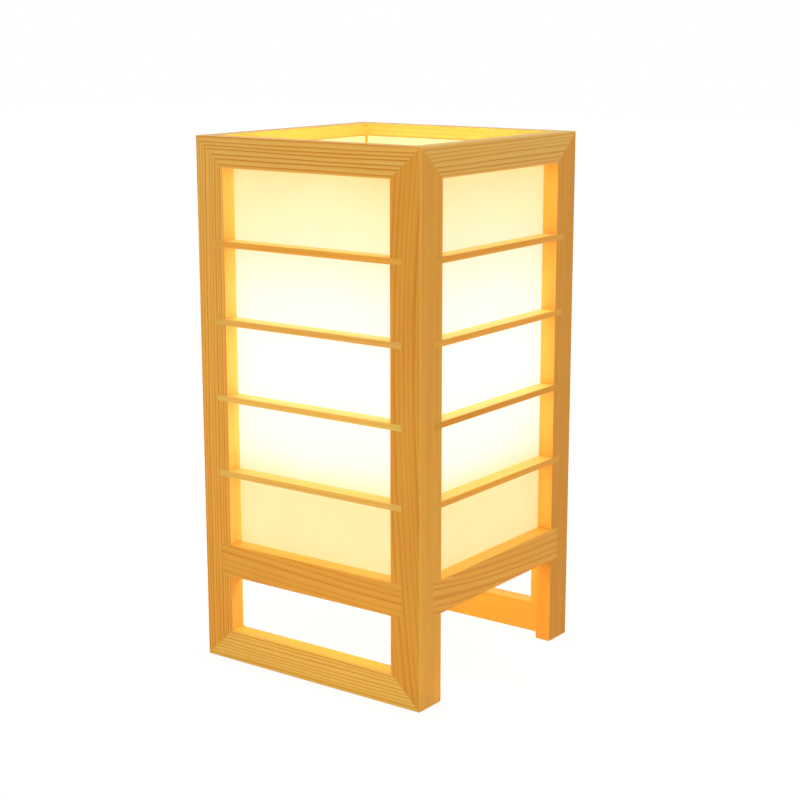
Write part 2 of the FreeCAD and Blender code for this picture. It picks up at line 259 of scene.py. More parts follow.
def noise(tree, vector, detail=2.0, roughness=0.5):
    """Noise about 0, from -0.5 to 0.5."""
    inputs = {"Vector": vector, "Scale": 1.0, "Detail": detail, "Roughness": roughness}
    return maths(tree, "SUBTRACT", add_node(tree, "TexNoise", inputs).outputs["Fac"], 0.5)


def new_group(name, inputs, outputs):
    group = bpy.data.node_groups.new(name, "ShaderNodeTree")
    for socket, kind in inputs:
        group.interface.new_socket(socket, in_out="INPUT", socket_type=f"NodeSocket{kind}")
    for socket, kind in outputs:
        group.interface.new_socket(socket, in_out="OUTPUT", socket_type=f"NodeSocket{kind}")
    return group, group.nodes.new("NodeGroupInput"), group.nodes.new("NodeGroupOutput")


def close_group(group, output, values):
    for socket, value in values.items():
        group.links.new(value, output.inputs[socket])


WOOD_TONES = (
    (0.0, (0.88, 0.55, 0.10, 1)),
    (0.25, (0.80, 0.475, 0.10, 1)),
    (0.55, (0.87, 0.435, 0.057, 1)),
    (0.8, (0.76, 0.345, 0.036, 1)),
    (1.0, (0.68, 0.285, 0.018, 1)),
)
LATE_WOOD_TINT = (0.79, 0.43, 0.0, 1)
# A ring's darkness from its early to its late wood, and that of the faintest ring.
RING_DARKNESS = ((0.0, 0.0), (0.36, 0.06), (0.62, 0.4), (0.78, 1.0), (0.88, 0.9), (0.96, 0.08), (1.0, 0.0))
FAINTEST_RING = 0.55
# How far the rings wander, ripple and crowd together, in rings, and how much the rest shades the wood.
RING_WANDER, RING_RIPPLE, RING_CROWDING = 1.5, 0.25, 1.5
CLOUD_SHADE, FIBRE_SHADE, FLECK_SHADE = 0.3, 0.3, 0.14
# A painted highlight on the eased edges and the arris: a lighter wood colour, and how far it is mixed in.
PAINTED_HIGHLIGHT_COLOUR = (0.95, 0.445, 0.07, 1)
PAINTED_HIGHLIGHT_SHARE = 0.65
BARE_WOOD = (0.84, 0.68, 0.46, 1)


def pine_grain_group():
    """Growth rings: pale early wood that darkens to a crisp line of late wood, and fine fibres."""
    group, given, result = new_group(
        "pine_grain",
        (("Rings", "Vector"), ("Stick", "Vector"), ("Bow", "Float")),
        (("Color", "Color"), ("Late Wood", "Float"), ("Fibre", "Float")),
    )
    place = add_node(group, "SeparateXYZ", {0: given.outputs["Rings"]}).outputs
    stick = add_node(group, "SeparateXYZ", {0: given.outputs["Stick"]}).outputs
    bowed = maths(group, "MULTIPLY", maths(group, "MULTIPLY", place[0], place[0]), given.outputs["Bow"])
    across = maths(group, "SUBTRACT", place[1], bowed)
    length = maths(group, "ADD", place[0], stick[0])

    def along_grain(per_metre, per_ring):
        vector = (maths(group, "MULTIPLY", length, per_metre),
                  maths(group, "MULTIPLY", across, per_ring),
                  maths(group, "MULTIPLY", place[2], per_ring))
        return add_node(group, "CombineXYZ", enumerate(vector)).outputs[0]

    radius = maths(group, "SQRT", maths(
        group, "ADD", maths(group, "MULTIPLY", across, across),
        maths(group, "MULTIPLY", place[2], place[2])))
    wander = maths(group, "MULTIPLY", noise(group, along_grain(5.0, 0.16)), RING_WANDER)
    ripple = maths(group, "MULTIPLY", noise(group, along_grain(22.0, 0.5)), RING_RIPPLE)
    count = maths(group, "ADD", radius, maths(group, "ADD", wander, ripple))
    season = add_node(group, "CombineXYZ", {0: maths(group, "MULTIPLY", count, 0.55), 1: stick[0]})
    crowding = maths(group, "MULTIPLY", noise(group, season.outputs[0]), RING_CROWDING)
    count = maths(group, "ADD", count, crowding)
    year = add_node(group, "CombineXYZ", {0: maths(group, "FLOOR", count), 1: stick[0]}).outputs[0]
    strength = add_node(group, "TexWhiteNoise", {"Vector": year}).outputs["Value"]
    levels = [(place, (level, level, level, 1)) for place, level in RING_DARKNESS]
    line = colour_ramp(group, maths(group, "FRACT", count), levels)
    strength = maths(group, "MULTIPLY_ADD", strength, 1 - FAINTEST_RING, FAINTEST_RING)
    late = maths(group, "MULTIPLY", maths(group, "MULTIPLY", line, strength), stick[1])
    fibre = noise(group, along_grain(26.0, 9.0), detail=4.0, roughness=0.6)
    fleck = noise(group, along_grain(90.0, 26.0))
    cloud = noise(group, along_grain(11.0, 0.3))
    ground = colour_ramp(group, maths(group, "MULTIPLY_ADD", cloud, CLOUD_SHADE, stick[2]), WOOD_TONES)
    fine = maths(group, "ADD", maths(group, "MULTIPLY", fibre, FIBRE_SHADE),
                 maths(group, "MULTIPLY", fleck, FLECK_SHADE))
    shade = maths(group, "ADD", late, fine)
    colour = blend_colours(group, shade, ground, LATE_WOOD_TINT, "MULTIPLY")
    close_group(group, result, {"Color": colour, "Late Wood": late, "Fibre": fibre})
    return group


pine_grain = pine_grain_group()


def new_material(name):
    material = bpy.data.materials.new(name)
    material.use_nodes = True
    tree = material.node_tree
    return material, tree, tree.nodes["Principled BSDF"]


LIGHT_DEPTH = 2.5 * MM


def pine_material(name, lacquer, roughness, bare=0.0):
    """Pine under lacquer, or planed bare: the more bare, the paler the wood."""
    material, tree, shader = new_material(name)
    grain = add_node(tree, "Group", {
        "Rings": add_node(tree, "Attribute", attribute_name="rings").outputs["Vector"],
        "Stick": add_node(tree, "Attribute", attribute_name="stick").outputs["Vector"],
        "Bow": add_node(tree, "Attribute", attribute_name="bow").outputs["Fac"],
    }, node_tree=pine_grain).outputs
    # Painted highlight: the eased edges and the arris are drawn in a lighter wood colour.
    painted_highlight = add_node(tree, "Attribute", attribute_name="painted_highlight").outputs["Fac"]
    colour = blend_colours(tree, maths(tree, "MULTIPLY", painted_highlight, PAINTED_HIGHLIGHT_SHARE), grain["Color"], PAINTED_HIGHLIGHT_COLOUR)
    colour = blend_colours(tree, bare, colour, BARE_WOOD)
    tree.links.new(colour, shader.inputs["Base Color"])
    dull = maths(tree, "MULTIPLY_ADD", grain["Late Wood"], -0.1, roughness)
    tree.links.new(maths(tree, "MULTIPLY_ADD", grain["Fibre"], 0.15, dull), shader.inputs["Roughness"])
    height = maths(tree, "MULTIPLY_ADD", grain["Late Wood"], 0.6, grain["Fibre"])
    bump = add_node(tree, "Bump", {"Strength": 0.25, "Distance": 0.1 * MM, "Height": height})
    tree.links.new(bump.outputs[0], shader.inputs["Normal"])
    shader.inputs["Coat Weight"].default_value = lacquer
    shader.inputs["Coat Roughness"].default_value = 0.3
    shader.inputs["Specular IOR Level"].default_value = 0.15
    shader.inputs["Subsurface Weight"].default_value = 0.45
    shader.inputs["Subsurface Radius"].default_value = (1.0, 0.5, 0.15)
    shader.inputs["Subsurface Scale"].default_value = LIGHT_DEPTH
    return material


lacquered_pine = pine_material("lacquered_pine", lacquer=0.08, roughness=0.5)


def copy_of(pattern, name):
    take_up(pattern)
    bpy.ops.object.duplicate()
    return named(bpy.context.object, name)


def fix(piece, material, node, body="lamp_case"):
    """Gives a piece its finish, and fixes it where its node is."""
    piece.data.materials.clear()
    piece.data.materials.append(material)
    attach(piece, body)
    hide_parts(node)


# How far each frame is turned from the front frame's place, in degrees.
FRAME_TURNS = {"front": 0, "right": 90, "back": 180, "left": 270}
STILE_GRAIN, RAIL_GRAIN = (2, 0), (0, 2)


def fit_stick(pattern, frame_name, stick, directions, sawn):
    """Copies a stick for one frame, gives it its grain, turns it into place and fixes it there."""
    node = f"{frame_name}_{stick}"
    piece = copy_of(pattern, f"wood_{node}")
    show_grain(piece, *directions, sawn, seed=node)
    piece.rotation_euler.z = math.radians(FRAME_TURNS[frame_name])
    take_up(piece)
    bpy.ops.object.transform_apply(location=True, rotation=True, scale=True)
    fix(piece, lacquered_pine, node)


STILES = (
    (-1, True, (("front", "left_stile", STILE_CUT), ("back", "right_stile", FINE_CUT))),
    (1, True, (("front", "right_stile", POST_CUT), ("back", "left_stile", STILE_CUT))),
    (-1, False, (("right", "front_stile", FINE_CUT), ("left", "back_stile", POST_CUT))),
    (1, False, (("right", "back_stile", FAR_CUT), ("left", "front_stile", STILE_CUT))),
)
for side, has_foot_mitre, places in STILES:
    pattern = stile_pattern(side, has_foot_mitre)
    for frame_name, stick, sawn in places:
        fit_stick(pattern, frame_name, stick, STILE_GRAIN, sawn)
    bpy.data.objects.remove(pattern)

# Top and bottom rails: pine like the stiles, with straight dark rings along them. Both ends are
# mitred to the stiles and to the next frame's rail. Only the front and back have a bottom rail.


def rail_pattern(rail):
    low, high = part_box(rail)
    piece = blank("rail_pattern", Vector((-case_half, low.y, low.z)), Vector((case_half, high.y, high.z)))
    for side in (-1, 1):
        point, to_rail = mitre_line(rail, side)
        saw(piece, point, -to_rail)
        mitre_to_next_frame(piece, side)
    ease_edges(piece)
    return piece


top_rail = rail_pattern("front_top_rail")
TOP_RAILS = {"front": RAIL_CUT, "right": SIDE_RAIL_CUT, "back": RAIL_CUT, "left": SIDE_RAIL_CUT}
for frame_name, sawn in TOP_RAILS.items():
    fit_stick(top_rail, frame_name, "top_rail", RAIL_GRAIN, sawn)
bpy.data.objects.remove(top_rail)
bottom_rail = rail_pattern("front_bottom_rail")
for frame_name in ("front", "back"):
    fit_stick(bottom_rail, frame_name, "bottom_rail", RAIL_GRAIN, FOOT_CUT)
bpy.data.objects.remove(bottom_rail)

# Mid rails and lattice bars: pine sticks whose ends lie in the stiles' slots, flush with the face.
# The side mid rails are also housed underneath for the crossbar's ends.


def let_in_pattern(stick):
    low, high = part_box(f"front_{stick}")
    return blank(f"{stick}_pattern", low, high)


def house_crossbar(mid_rail):
    """Cuts the crossbar's housing into a mid rail in the front frame's place."""
    low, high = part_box("crossbar")
    reach = Vector((low.y, -high.x, low.z - SLOT_PAST)), Vector((high.y, -case_half / 2, high.z))
    combine(mid_rail, blank("housing", *reach), "DIFFERENCE")


mid_rail = let_in_pattern("mid_rail")
side_mid_rail = copy_of(mid_rail, "side_mid_rail_pattern")
house_crossbar(side_mid_rail)
MID_RAILS = (
    (mid_rail, ("front", "back"), MID_RAIL_CUT),
    (side_mid_rail, ("right", "left"), SIDE_MID_RAIL_CUT),
)
for pattern, frame_names, sawn in MID_RAILS:
    ease_edges(pattern)
    for frame_name in frame_names:
        fit_stick(pattern, frame_name, "mid_rail", RAIL_GRAIN, sawn)
    bpy.data.objects.remove(pattern)
# Each frame's bars from the top down, by their wood's tone.
BAR_TONES = {
    "front": (0.60, 0.32, 0.05, 0.10),
    "right": (0.70, 0.66, 0.90, 0.66),
    "back": (0.30, 0.60, 0.45, 0.70),
    "left": (0.55, 0.15, 0.65, 0.40),
}
for place, stick in enumerate(LET_IN_STICKS[1:]):
    bar = let_in_pattern(stick)
    ease_edges(bar)
    for frame_name, tones in BAR_TONES.items():
        fit_stick(bar, frame_name, stick, RAIL_GRAIN, BAR_CUT._replace(tone=tones[place]))
    bpy.data.objects.remove(bar)

# Sheets: stiff translucent paper laminate, half a millimetre thick, glued behind the frames. The
# bulb's light through them is a painted glow, set by place: almost white level with the bulb and a
# deeper cream towards the ends, with a painted shadow below the housing. Hidden lamps at the sheets give
# the light that they pass to the sticks round them.
# Where the painted glow centres, how it spreads and falls off, and the painted shadow below the housing
# with the glow left in it.
GLOW_CENTRE = Vector((8, -8, 204)) * MM
GLOW_SPREAD = Vector((0.52, 0.52, 1))
GLOW_REACH = 37 * MM
HOUSING_SHADOW = (118 * MM, 152 * MM)
SHADOW_GLOW = 0.525
GLOW_COLOURS = (
    (0.50, (0.65, 0.47, 0.18, 1)),
    (0.57, (0.70, 0.59, 0.33, 1)),
    (0.66, (0.78, 0.65, 0.53, 1)),
    (0.76, (0.88, 0.70, 0.71, 1)),
    (0.90, (0.95, 0.78, 0.82, 1)),
)
SHEET_COLOUR = (0.46, 0.38, 0.20, 1)
SHEET_FIBRE = (0.52, 0.44, 0.26, 1)
STRANDS_PER_METRE = (260, 260, 130)
SHEET_CLOUDS_PER_METRE = (30, 30, 30)
STRAND_SHADE, SHEET_CLOUD_SHADE = 0.03, 0.035


def shade_sheet_material():
    material, tree, shader = new_material("shade_sheet")
    position = add_node(tree, "TexCoord").outputs["Object"]
    offset = add_node(tree, "VectorMath", {0: position, 1: GLOW_CENTRE}, operation="SUBTRACT").outputs[0]
    spread = add_node(tree, "VectorMath", {0: offset, 1: GLOW_SPREAD}, operation="MULTIPLY").outputs[0]
    distance = add_node(tree, "VectorMath", {0: spread}, operation="LENGTH").outputs["Value"]
    direct = maths(tree, "SQRT", maths(tree, "DIVIDE", GLOW_REACH, distance))
    height = add_node(tree, "SeparateXYZ", {0: position}).outputs[2]
    above_housing = add_node(
        tree, "MapRange", {0: height, 1: HOUSING_SHADOW[0], 2: HOUSING_SHADOW[1]},
        interpolation_type="SMOOTHSTEP").outputs[0]
    over_shadow = maths(tree, "SUBTRACT", direct, SHADOW_GLOW)
    glow = maths(tree, "MULTIPLY_ADD", over_shadow, above_housing, SHADOW_GLOW)
    strands = add_node(tree, "Mapping", {"Vector": position, "Scale": STRANDS_PER_METRE}).outputs[0]
    clouds = add_node(tree, "Mapping", {"Vector": position, "Scale": SHEET_CLOUDS_PER_METRE}).outputs[0]
    paper = maths(tree, "ADD",
                  maths(tree, "MULTIPLY", noise(tree, strands, detail=5.0, roughness=0.7), STRAND_SHADE),
                  maths(tree, "MULTIPLY", noise(tree, clouds), SHEET_CLOUD_SHADE))
    # Painted glow: the bulb's light through the sheet, set by place round a fixed centre, with the
    # housing's shadow painted below it; the bulb does not cast it.
    light = colour_ramp(tree, maths(tree, "ADD", glow, paper), GLOW_COLOURS)
    tree.links.new(light, shader.inputs["Emission Color"])
    shader.inputs["Emission Strength"].default_value = 1.0
    tint = blend_colours(tree, maths(tree, "MULTIPLY_ADD", paper, 10.0, 0.5), SHEET_COLOUR, SHEET_FIBRE)
    tree.links.new(tint, shader.inputs["Base Color"])
    tree.links.new(maths(tree, "MULTIPLY_ADD", paper, 3.0, 0.6), shader.inputs["Roughness"])
    bump = add_node(tree, "Bump", {"Strength": 0.1, "Distance": 0.05 * MM, "Height": paper})
    tree.links.new(bump.outputs[0], shader.inputs["Normal"])
    shader.inputs["Specular IOR Level"].default_value = 0.15
    return material


def finish_node(node, material):
    """Gives a piece of the frame that keeps its own shape a finish of its own."""
    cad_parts[node].data.materials.clear()
    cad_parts[node].data.materials.append(material)


def hang_lamp(name, energy, colour, matrix, **shape):
    """An area light that lights the pieces but isn't seen itself."""
    light = bpy.data.lights.new(name, "AREA")
    light.energy, light.color = energy, colour
    for setting, value in shape.items():
        setattr(light, setting, value)
    lamp = bpy.data.objects.new(name, light)
    bpy.context.scene.collection.objects.link(lamp)
    lamp.matrix_world = matrix
    lamp.visible_camera = lamp.visible_glossy = False


# The light that a sheet passes, in watts, over the whole opening and over its brightest stretch.
PASSED_LIGHT = 0.128
BRIGHTEST_LIGHT = 0.024
BRIGHTEST_HEIGHT = 115 * MM
opening_low, opening_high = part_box("front_mid_rail")[1].z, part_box("front_top_rail")[0].z
sheet_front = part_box("front_sheet")[0].y
passed = (
    ("passed", PASSED_LIGHT, sheet_front - EASED_EDGE,
     (opening_low + opening_high) / 2, opening_high - opening_low),
    ("brightest", BRIGHTEST_LIGHT, sheet_front - 2 * EASED_EDGE, GLOW_CENTRE.z, BRIGHTEST_HEIGHT),
)
shade_sheet = shade_sheet_material()
facing_out = Matrix.Rotation(math.radians(-90), 4, "X")
for frame_name, degrees in FRAME_TURNS.items():
    finish_node(f"{frame_name}_sheet", shade_sheet)
    turned = Matrix.Rotation(math.radians(degrees), 4, "Z")
    for name, energy, before, middle, height in passed:
        in_place = turned @ Matrix.Translation((0, before, middle)) @ facing_out
        hang_lamp(
            f"{frame_name}_{name}", energy, (1, 1, 1), in_place,
            shape="RECTANGLE", size=2 * opening_half, size_y=height,
        )

# Crossbar: a bare pine batten, planed but not lacquered. Its ends are housed in the side mid rails,
# and a hole through its middle takes the lampholder's tube.
HOLE_PLAY = 0.2 * MM
ROUND_SIDES = 48


def drill(piece, radius):
    """Bores a round hole through a piece on the lamp's middle line."""
    bpy.ops.object.select_all(action="DESELECT")
    bpy.ops.mesh.primitive_cylinder_add(vertices=ROUND_SIDES, radius=radius, depth=4 * case_top)
    combine(piece, bpy.context.object, "DIFFERENCE")


tube_low, tube_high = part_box("threaded_tube")
bare_pine = pine_material("bare_pine", lacquer=0.0, roughness=0.68, bare=0.7)
crossbar = blank("wood_crossbar", *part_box("crossbar"))
drill(crossbar, tube_high.x + HOLE_PLAY)
ease_edges(crossbar)
show_grain(crossbar, 0, 1, MID_RAIL_CUT, seed="crossbar")
fix(crossbar, bare_pine, "crossbar")

# Threaded tube, washer and nut: zinc plated steel. The tube goes up through the crossbar into the
# lampholder's cap, the nut draws it tight from below, and its bore leads up into the cap.
TUBE_PITCH = 1.0 * MM
TUBE_THREAD = 0.55 * MM
TUBE_BORE = 4.0 * MM
NUT_CHAMFER = 0.7 * MM
ZINC = (0.52, 0.53, 0.54, 1)
ZINC_CLOUD = (0.40, 0.42, 0.46, 1)
LINES_PER_METRE = 2400.0
FINISH_CLOUDS_PER_METRE = (140, 140, 140)


def draw_outline(name, points):
    """Draws an outline in the XZ plane from (radius, height) points, each joined to the last."""
    bpy.ops.object.select_all(action="DESELECT")
    bpy.ops.mesh.primitive_plane_add(size=MM)
    piece = named(bpy.context.object, name)
    bpy.ops.object.mode_set(mode="EDIT")
    bpy.ops.mesh.select_mode(type="VERT")
    bpy.ops.mesh.select_all(action="SELECT")
    bpy.ops.mesh.merge(type="CENTER")
    places = [Vector((radius, 0, height)) for radius, height in points]
    bpy.ops.transform.translate(value=places[0])
    for last, place in zip(places, places[1:]):
        bpy.ops.mesh.extrude_region_move(TRANSFORM_OT_translate={"value": place - last})
    bpy.ops.object.mode_set(mode="OBJECT")
    return piece


def close_seams(piece):
    take_up(piece)
    bpy.ops.object.mode_set(mode="EDIT")
    bpy.ops.mesh.select_all(action="SELECT")
    bpy.ops.mesh.remove_doubles(threshold=0.001 * MM)
    bpy.ops.mesh.normals_make_consistent(inside=False)
    bpy.ops.object.mode_set(mode="OBJECT")


def turn(name, outline, sides=ROUND_SIDES):
    """Turns a round piece on the lamp's middle line from its outline."""
    piece = draw_outline(name, outline)
    bpy.ops.object.mode_set(mode="EDIT")
    bpy.ops.mesh.select_all(action="SELECT")
    bpy.ops.mesh.spin(steps=sides, angle=math.tau, center=(0, 0, 0), axis=(0, 0, 1))
    bpy.ops.object.mode_set(mode="OBJECT")
    close_seams(piece)
    return piece


def wind_thread(name, outline, pitch, low, high):
    """Winds one turn of a thread's outline up a rod, and faces the rod off at both ends."""
    rod = draw_outline(name, [(radius, low + (rise - 2) * pitch) for radius, rise in outline])
    winding = rod.modifiers.new("winding", "SCREW")
    winding.axis = "Z"
    winding.screw_offset = pitch
    winding.iterations = math.ceil((high - low) / pitch) + 3
    winding.steps = winding.render_steps = ROUND_SIDES
    bpy.ops.object.modifier_apply(modifier=winding.name)
    close_seams(rod)
    saw(rod, (0, 0, low), (0, 0, -1))
    saw(rod, (0, 0, high), (0, 0, 1))
    close_seams(rod)
    return rod


def smooth(piece, angle=35):
    take_up(piece)
    bpy.ops.object.shade_smooth_by_angle(angle=math.radians(angle))


def turned_finish_group():
    """Fine rings from turning or moulding, and faint clouds, which vary the colour, gloss and height."""
    group, given, result = new_group(
        "turned_finish",
        (("Position", "Vector"), ("Color", "Color"), ("Cloud Color", "Color"),
         ("Roughness", "Float"), ("Line Strength", "Float")),
        (("Color", "Color"), ("Roughness", "Float"), ("Height", "Float")),
    )
    place = add_node(group, "SeparateXYZ", {0: given.outputs["Position"]}).outputs
    radius = maths(group, "SQRT", maths(
        group, "ADD", maths(group, "MULTIPLY", place[0], place[0]),
        maths(group, "MULTIPLY", place[1], place[1])))
    round_lines = add_node(group, "CombineXYZ", {
        0: maths(group, "MULTIPLY", radius, LINES_PER_METRE),
        1: maths(group, "MULTIPLY", place[2], LINES_PER_METRE),
    })
    lines = maths(group, "MULTIPLY", noise(group, round_lines.outputs[0], detail=3.0),
                  given.outputs["Line Strength"])
    spread = add_node(
        group, "Mapping", {"Vector": given.outputs["Position"], "Scale": FINISH_CLOUDS_PER_METRE})
    cloud = noise(group, spread.outputs[0], detail=4.0, roughness=0.6)
    share = maths(group, "ADD", maths(group, "MULTIPLY_ADD", cloud, 1.6, 0.4), lines)
    colour = blend_colours(group, share, given.outputs["Color"], given.outputs["Cloud Color"])
    gloss = maths(group, "ADD", given.outputs["Roughness"],
                  maths(group, "MULTIPLY_ADD", cloud, 0.25, maths(group, "MULTIPLY", lines, 0.2)))
    close_group(group, result, {"Color": colour, "Roughness": gloss, "Height": lines})
    return group


turned_finish = turned_finish_group()


def turned_material(name, colour, cloud_colour, roughness, lines, metallic=0.0):
    material, tree, shader = new_material(name)
    finish = add_node(tree, "Group", {
        "Position": add_node(tree, "TexCoord").outputs["Object"],
        "Color": colour,
        "Cloud Color": cloud_colour,
        "Roughness": roughness,
        "Line Strength": lines,
    }, node_tree=turned_finish).outputs
    tree.links.new(finish["Color"], shader.inputs["Base Color"])
    tree.links.new(finish["Roughness"], shader.inputs["Roughness"])
    bump = add_node(tree, "Bump", {"Strength": 0.3, "Distance": 0.02 * MM, "Height": finish["Height"]})
    tree.links.new(bump.outputs[0], shader.inputs["Normal"])
    shader.inputs["Metallic"].default_value = metallic
    return material


plated_steel = turned_material("plated_steel", ZINC, ZINC_CLOUD, 0.32, 0.5, metallic=1.0)
crest, root = tube_high.x, tube_high.x - TUBE_THREAD
tube = wind_thread(
    "threaded_tube_steel", ((root, 0), (crest, 0.5), (root, 1)), TUBE_PITCH, tube_low.z, tube_high.z)
drill(tube, TUBE_BORE)
smooth(tube)
fix(tube, plated_steel, "threaded_tube")

nut_low, nut_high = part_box("tube_nut")
nut_height = nut_high.z - nut_low.z
bpy.ops.object.select_all(action="DESELECT")
bpy.ops.mesh.primitive_cylinder_add(
    vertices=6, radius=nut_high.x, depth=nut_height, location=(0, 0, nut_low.z + nut_height / 2),
    rotation=(0, 0, math.radians(30)))
bpy.ops.object.transform_apply(location=True, rotation=True, scale=True)
nut = named(bpy.context.object, "tube_nut_steel")
past_corner, flat = nut_high.x + NUT_CHAMFER, nut_high.x - 2 * NUT_CHAMFER
dome = turn("nut_dome", (
    (0, nut_low.z - MM), (flat, nut_low.z - MM), (flat, nut_low.z),
    (past_corner, nut_low.z + 2 * NUT_CHAMFER), (past_corner, nut_high.z - 2 * NUT_CHAMFER),
    (flat, nut_high.z), (flat, nut_high.z + MM), (0, nut_high.z + MM)))
combine(nut, dome, "INTERSECT")
drill(nut, crest + HOLE_PLAY)
ease_edges(nut, EASED_EDGE / 2)
smooth(nut)
fix(nut, plated_steel, "tube_nut")
finish_node("tube_washer", plated_steel)

# Lampholder: a moulded cap and skirt that screw together round a ceramic contact block, with a
# pressed brass screw shell and a sprung centre contact for the bulb. The cap stands on the crossbar.
SKIRT_WALL_DROP = 0.5 * MM
SKIRT_LIP = 2.2 * MM
SKIRT_BAND = 5.0 * MM
GRIP_SIDES = 72
GRIP_GAP = 0.3 * MM
GRIP_DEPTH = 0.6 * MM
SHELL_PLAY = 0.25 * MM
BLOCK_PLAY = 0.5 * MM
IVORY = (0.74, 0.71, 0.63, 1)
IVORY_CLOUD = (0.68, 0.64, 0.55, 1)
CERAMIC = (0.78, 0.75, 0.68, 1)
CERAMIC_CLOUD = (0.70, 0.66, 0.58, 1)
BRASS = (0.72, 0.46, 0.16, 1)
BRASS_CLOUD = (0.55, 0.33, 0.10, 1)
TINNED = (0.60, 0.60, 0.58, 1)
TINNED_CLOUD = (0.46, 0.46, 0.45, 1)
holder_plastic = turned_material("holder_plastic", IVORY, IVORY_CLOUD, 0.38, 0.1)
holder_ceramic = turned_material("holder_ceramic", CERAMIC, CERAMIC_CLOUD, 0.75, 0.2)
contact_brass = turned_material("contact_brass", BRASS, BRASS_CLOUD, 0.3, 0.5, metallic=1.0)
contact_metal = turned_material("contact_metal", TINNED, TINNED_CLOUD, 0.42, 0.3, metallic=1.0)


def arc(middle, radius, first, last, steps=6):
    """Points on a round stretch of an outline, between two angles in degrees."""
    angles = [math.radians(first + (last - first) * step / steps) for step in range(steps + 1)]
    return [(middle[0] + radius * math.cos(a), middle[1] + radius * math.sin(a)) for a in angles]


def pick_faces(piece, wanted):
    """Selects the faces that a test picks out, and goes into edit mode on them."""
    take_up(piece)
    bpy.ops.object.mode_set(mode="EDIT")
    bpy.ops.mesh.select_mode(type="FACE")
    bpy.ops.mesh.select_all(action="DESELECT")
    bpy.ops.object.mode_set(mode="OBJECT")
    for face in piece.data.polygons:
        face.select = wanted(face)
    bpy.ops.object.mode_set(mode="EDIT")


def turned_skirt():
    """The skirt with its rounded lip, two plain bands and the grip ribs between them."""
    low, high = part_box("holder_skirt")
    shell_low, shell_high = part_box("screw_shell")
    outer, wall = high.x, high.x - SKIRT_WALL_DROP
    bore = shell_high.x + SHELL_PLAY
    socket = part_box("contact_block")[1].x + BLOCK_PLAY
    band_low, band_high = low.z + SKIRT_BAND, high.z - SKIRT_BAND
    outline = [
        (socket, low.z), (outer, low.z), (outer, band_low), (wall, band_low + SKIRT_WALL_DROP),
        (wall, band_high - SKIRT_WALL_DROP), (outer, band_high),
        *arc((outer - SKIRT_LIP, high.z - SKIRT_LIP), SKIRT_LIP, 0, 90),
        (bore + EASED_EDGE, high.z), (bore, high.z - EASED_EDGE),
        (bore, shell_low.z), (socket, shell_low.z), (socket, low.z),
    ]
    skirt = turn("holder_skirt_moulding", outline, GRIP_SIDES)
    step = math.tau / GRIP_SIDES

    def is_groove(face):
        on_wall = face.center.xy.length > wall - EASED_EDGE
        between = band_low + SKIRT_WALL_DROP < face.center.z < band_high - SKIRT_WALL_DROP
        number = int(math.atan2(face.center.y, face.center.x) % math.tau / step)
        return on_wall and between and number % 2 == 0

    pick_faces(skirt, is_groove)
    bpy.ops.mesh.inset(thickness=GRIP_GAP, depth=-GRIP_DEPTH, use_individual=True)
    bpy.ops.object.mode_set(mode="OBJECT")
    smooth(skirt)
    return skirt


fix(turned_skirt(), holder_plastic, "holder_skirt")
finish_node("holder_cap", holder_plastic)
finish_node("contact_block", holder_ceramic)
finish_node("screw_shell", contact_brass)
finish_node("centre_contact", contact_metal)

# Bulb: an opal stick bulb, screwed into the lampholder. A rolled aluminium screw cap with a black
# insulator and a solder contact below, a white housing, and the diffuser that gives the light.
CAP_PITCH = 3.63 * MM
CAP_THREAD = 1.0 * MM
CAP_COLLAR = 4.0 * MM
CAP_TAPER = 1.2 * MM
CAP_INSIDE = 0.1 * MM
HOUSING_FLARE = 12 * MM
HOUSING_EDGE = 0.4 * MM
DIFFUSER_ROUND = 11 * MM
BULB_STRENGTH = 45.0
# The light's colour from the housing up to the tip.
BULB_LIGHT = (
    (0.0, (0.70, 0.58, 0.42, 1)),
    (0.15, (1.0, 0.87, 0.70, 1)),
    (0.85, (1.0, 0.88, 0.72, 1)),
    (1.0, (0.85, 0.72, 0.54, 1)),
)
OPAL_CLOUDS_PER_METRE = (120, 120, 120)
WHITE = (0.84, 0.83, 0.80, 1)
WHITE_CLOUD = (0.78, 0.77, 0.73, 1)
ALUMINIUM = (0.66, 0.66, 0.65, 1)
ALUMINIUM_CLOUD = (0.52, 0.52, 0.52, 1)
BLACK_GLASS = (0.012, 0.012, 0.015, 1)
BLACK_GLASS_CLOUD = (0.022, 0.022, 0.025, 1)
bulb_cap_metal = turned_material("bulb_cap_metal", ALUMINIUM, ALUMINIUM_CLOUD, 0.25, 0.5, metallic=1.0)
bulb_insulator = turned_material("bulb_insulator", BLACK_GLASS, BLACK_GLASS_CLOUD, 0.3, 0.1)
bulb_housing = turned_material("bulb_housing", WHITE, WHITE_CLOUD, 0.3, 0.05)


def diffuser_material():
    """Opal plastic that glows, a little less towards the housing and at the tip."""
    material, tree, shader = new_material("bulb_diffuser")
    position = add_node(tree, "TexCoord").outputs["Object"]
    low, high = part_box("bulb_diffuser")
    height = add_node(tree, "MapRange", {
        0: add_node(tree, "SeparateXYZ", {0: position}).outputs[2], 1: low.z, 2: high.z}).outputs[0]
    spread = add_node(tree, "Mapping", {"Vector": position, "Scale": OPAL_CLOUDS_PER_METRE}).outputs[0]
    place = maths(tree, "MULTIPLY_ADD", noise(tree, spread), 0.06, height)
    tree.links.new(colour_ramp(tree, place, BULB_LIGHT), shader.inputs["Emission Color"])
    shader.inputs["Emission Strength"].default_value = BULB_STRENGTH
    tint = blend_colours(tree, maths(tree, "ADD", noise(tree, spread), 0.5), WHITE, WHITE_CLOUD)
    tree.links.new(tint, shader.inputs["Base Color"])
    tree.links.new(maths(tree, "MULTIPLY_ADD", noise(tree, spread), 0.2, 0.4), shader.inputs["Roughness"])
    return material


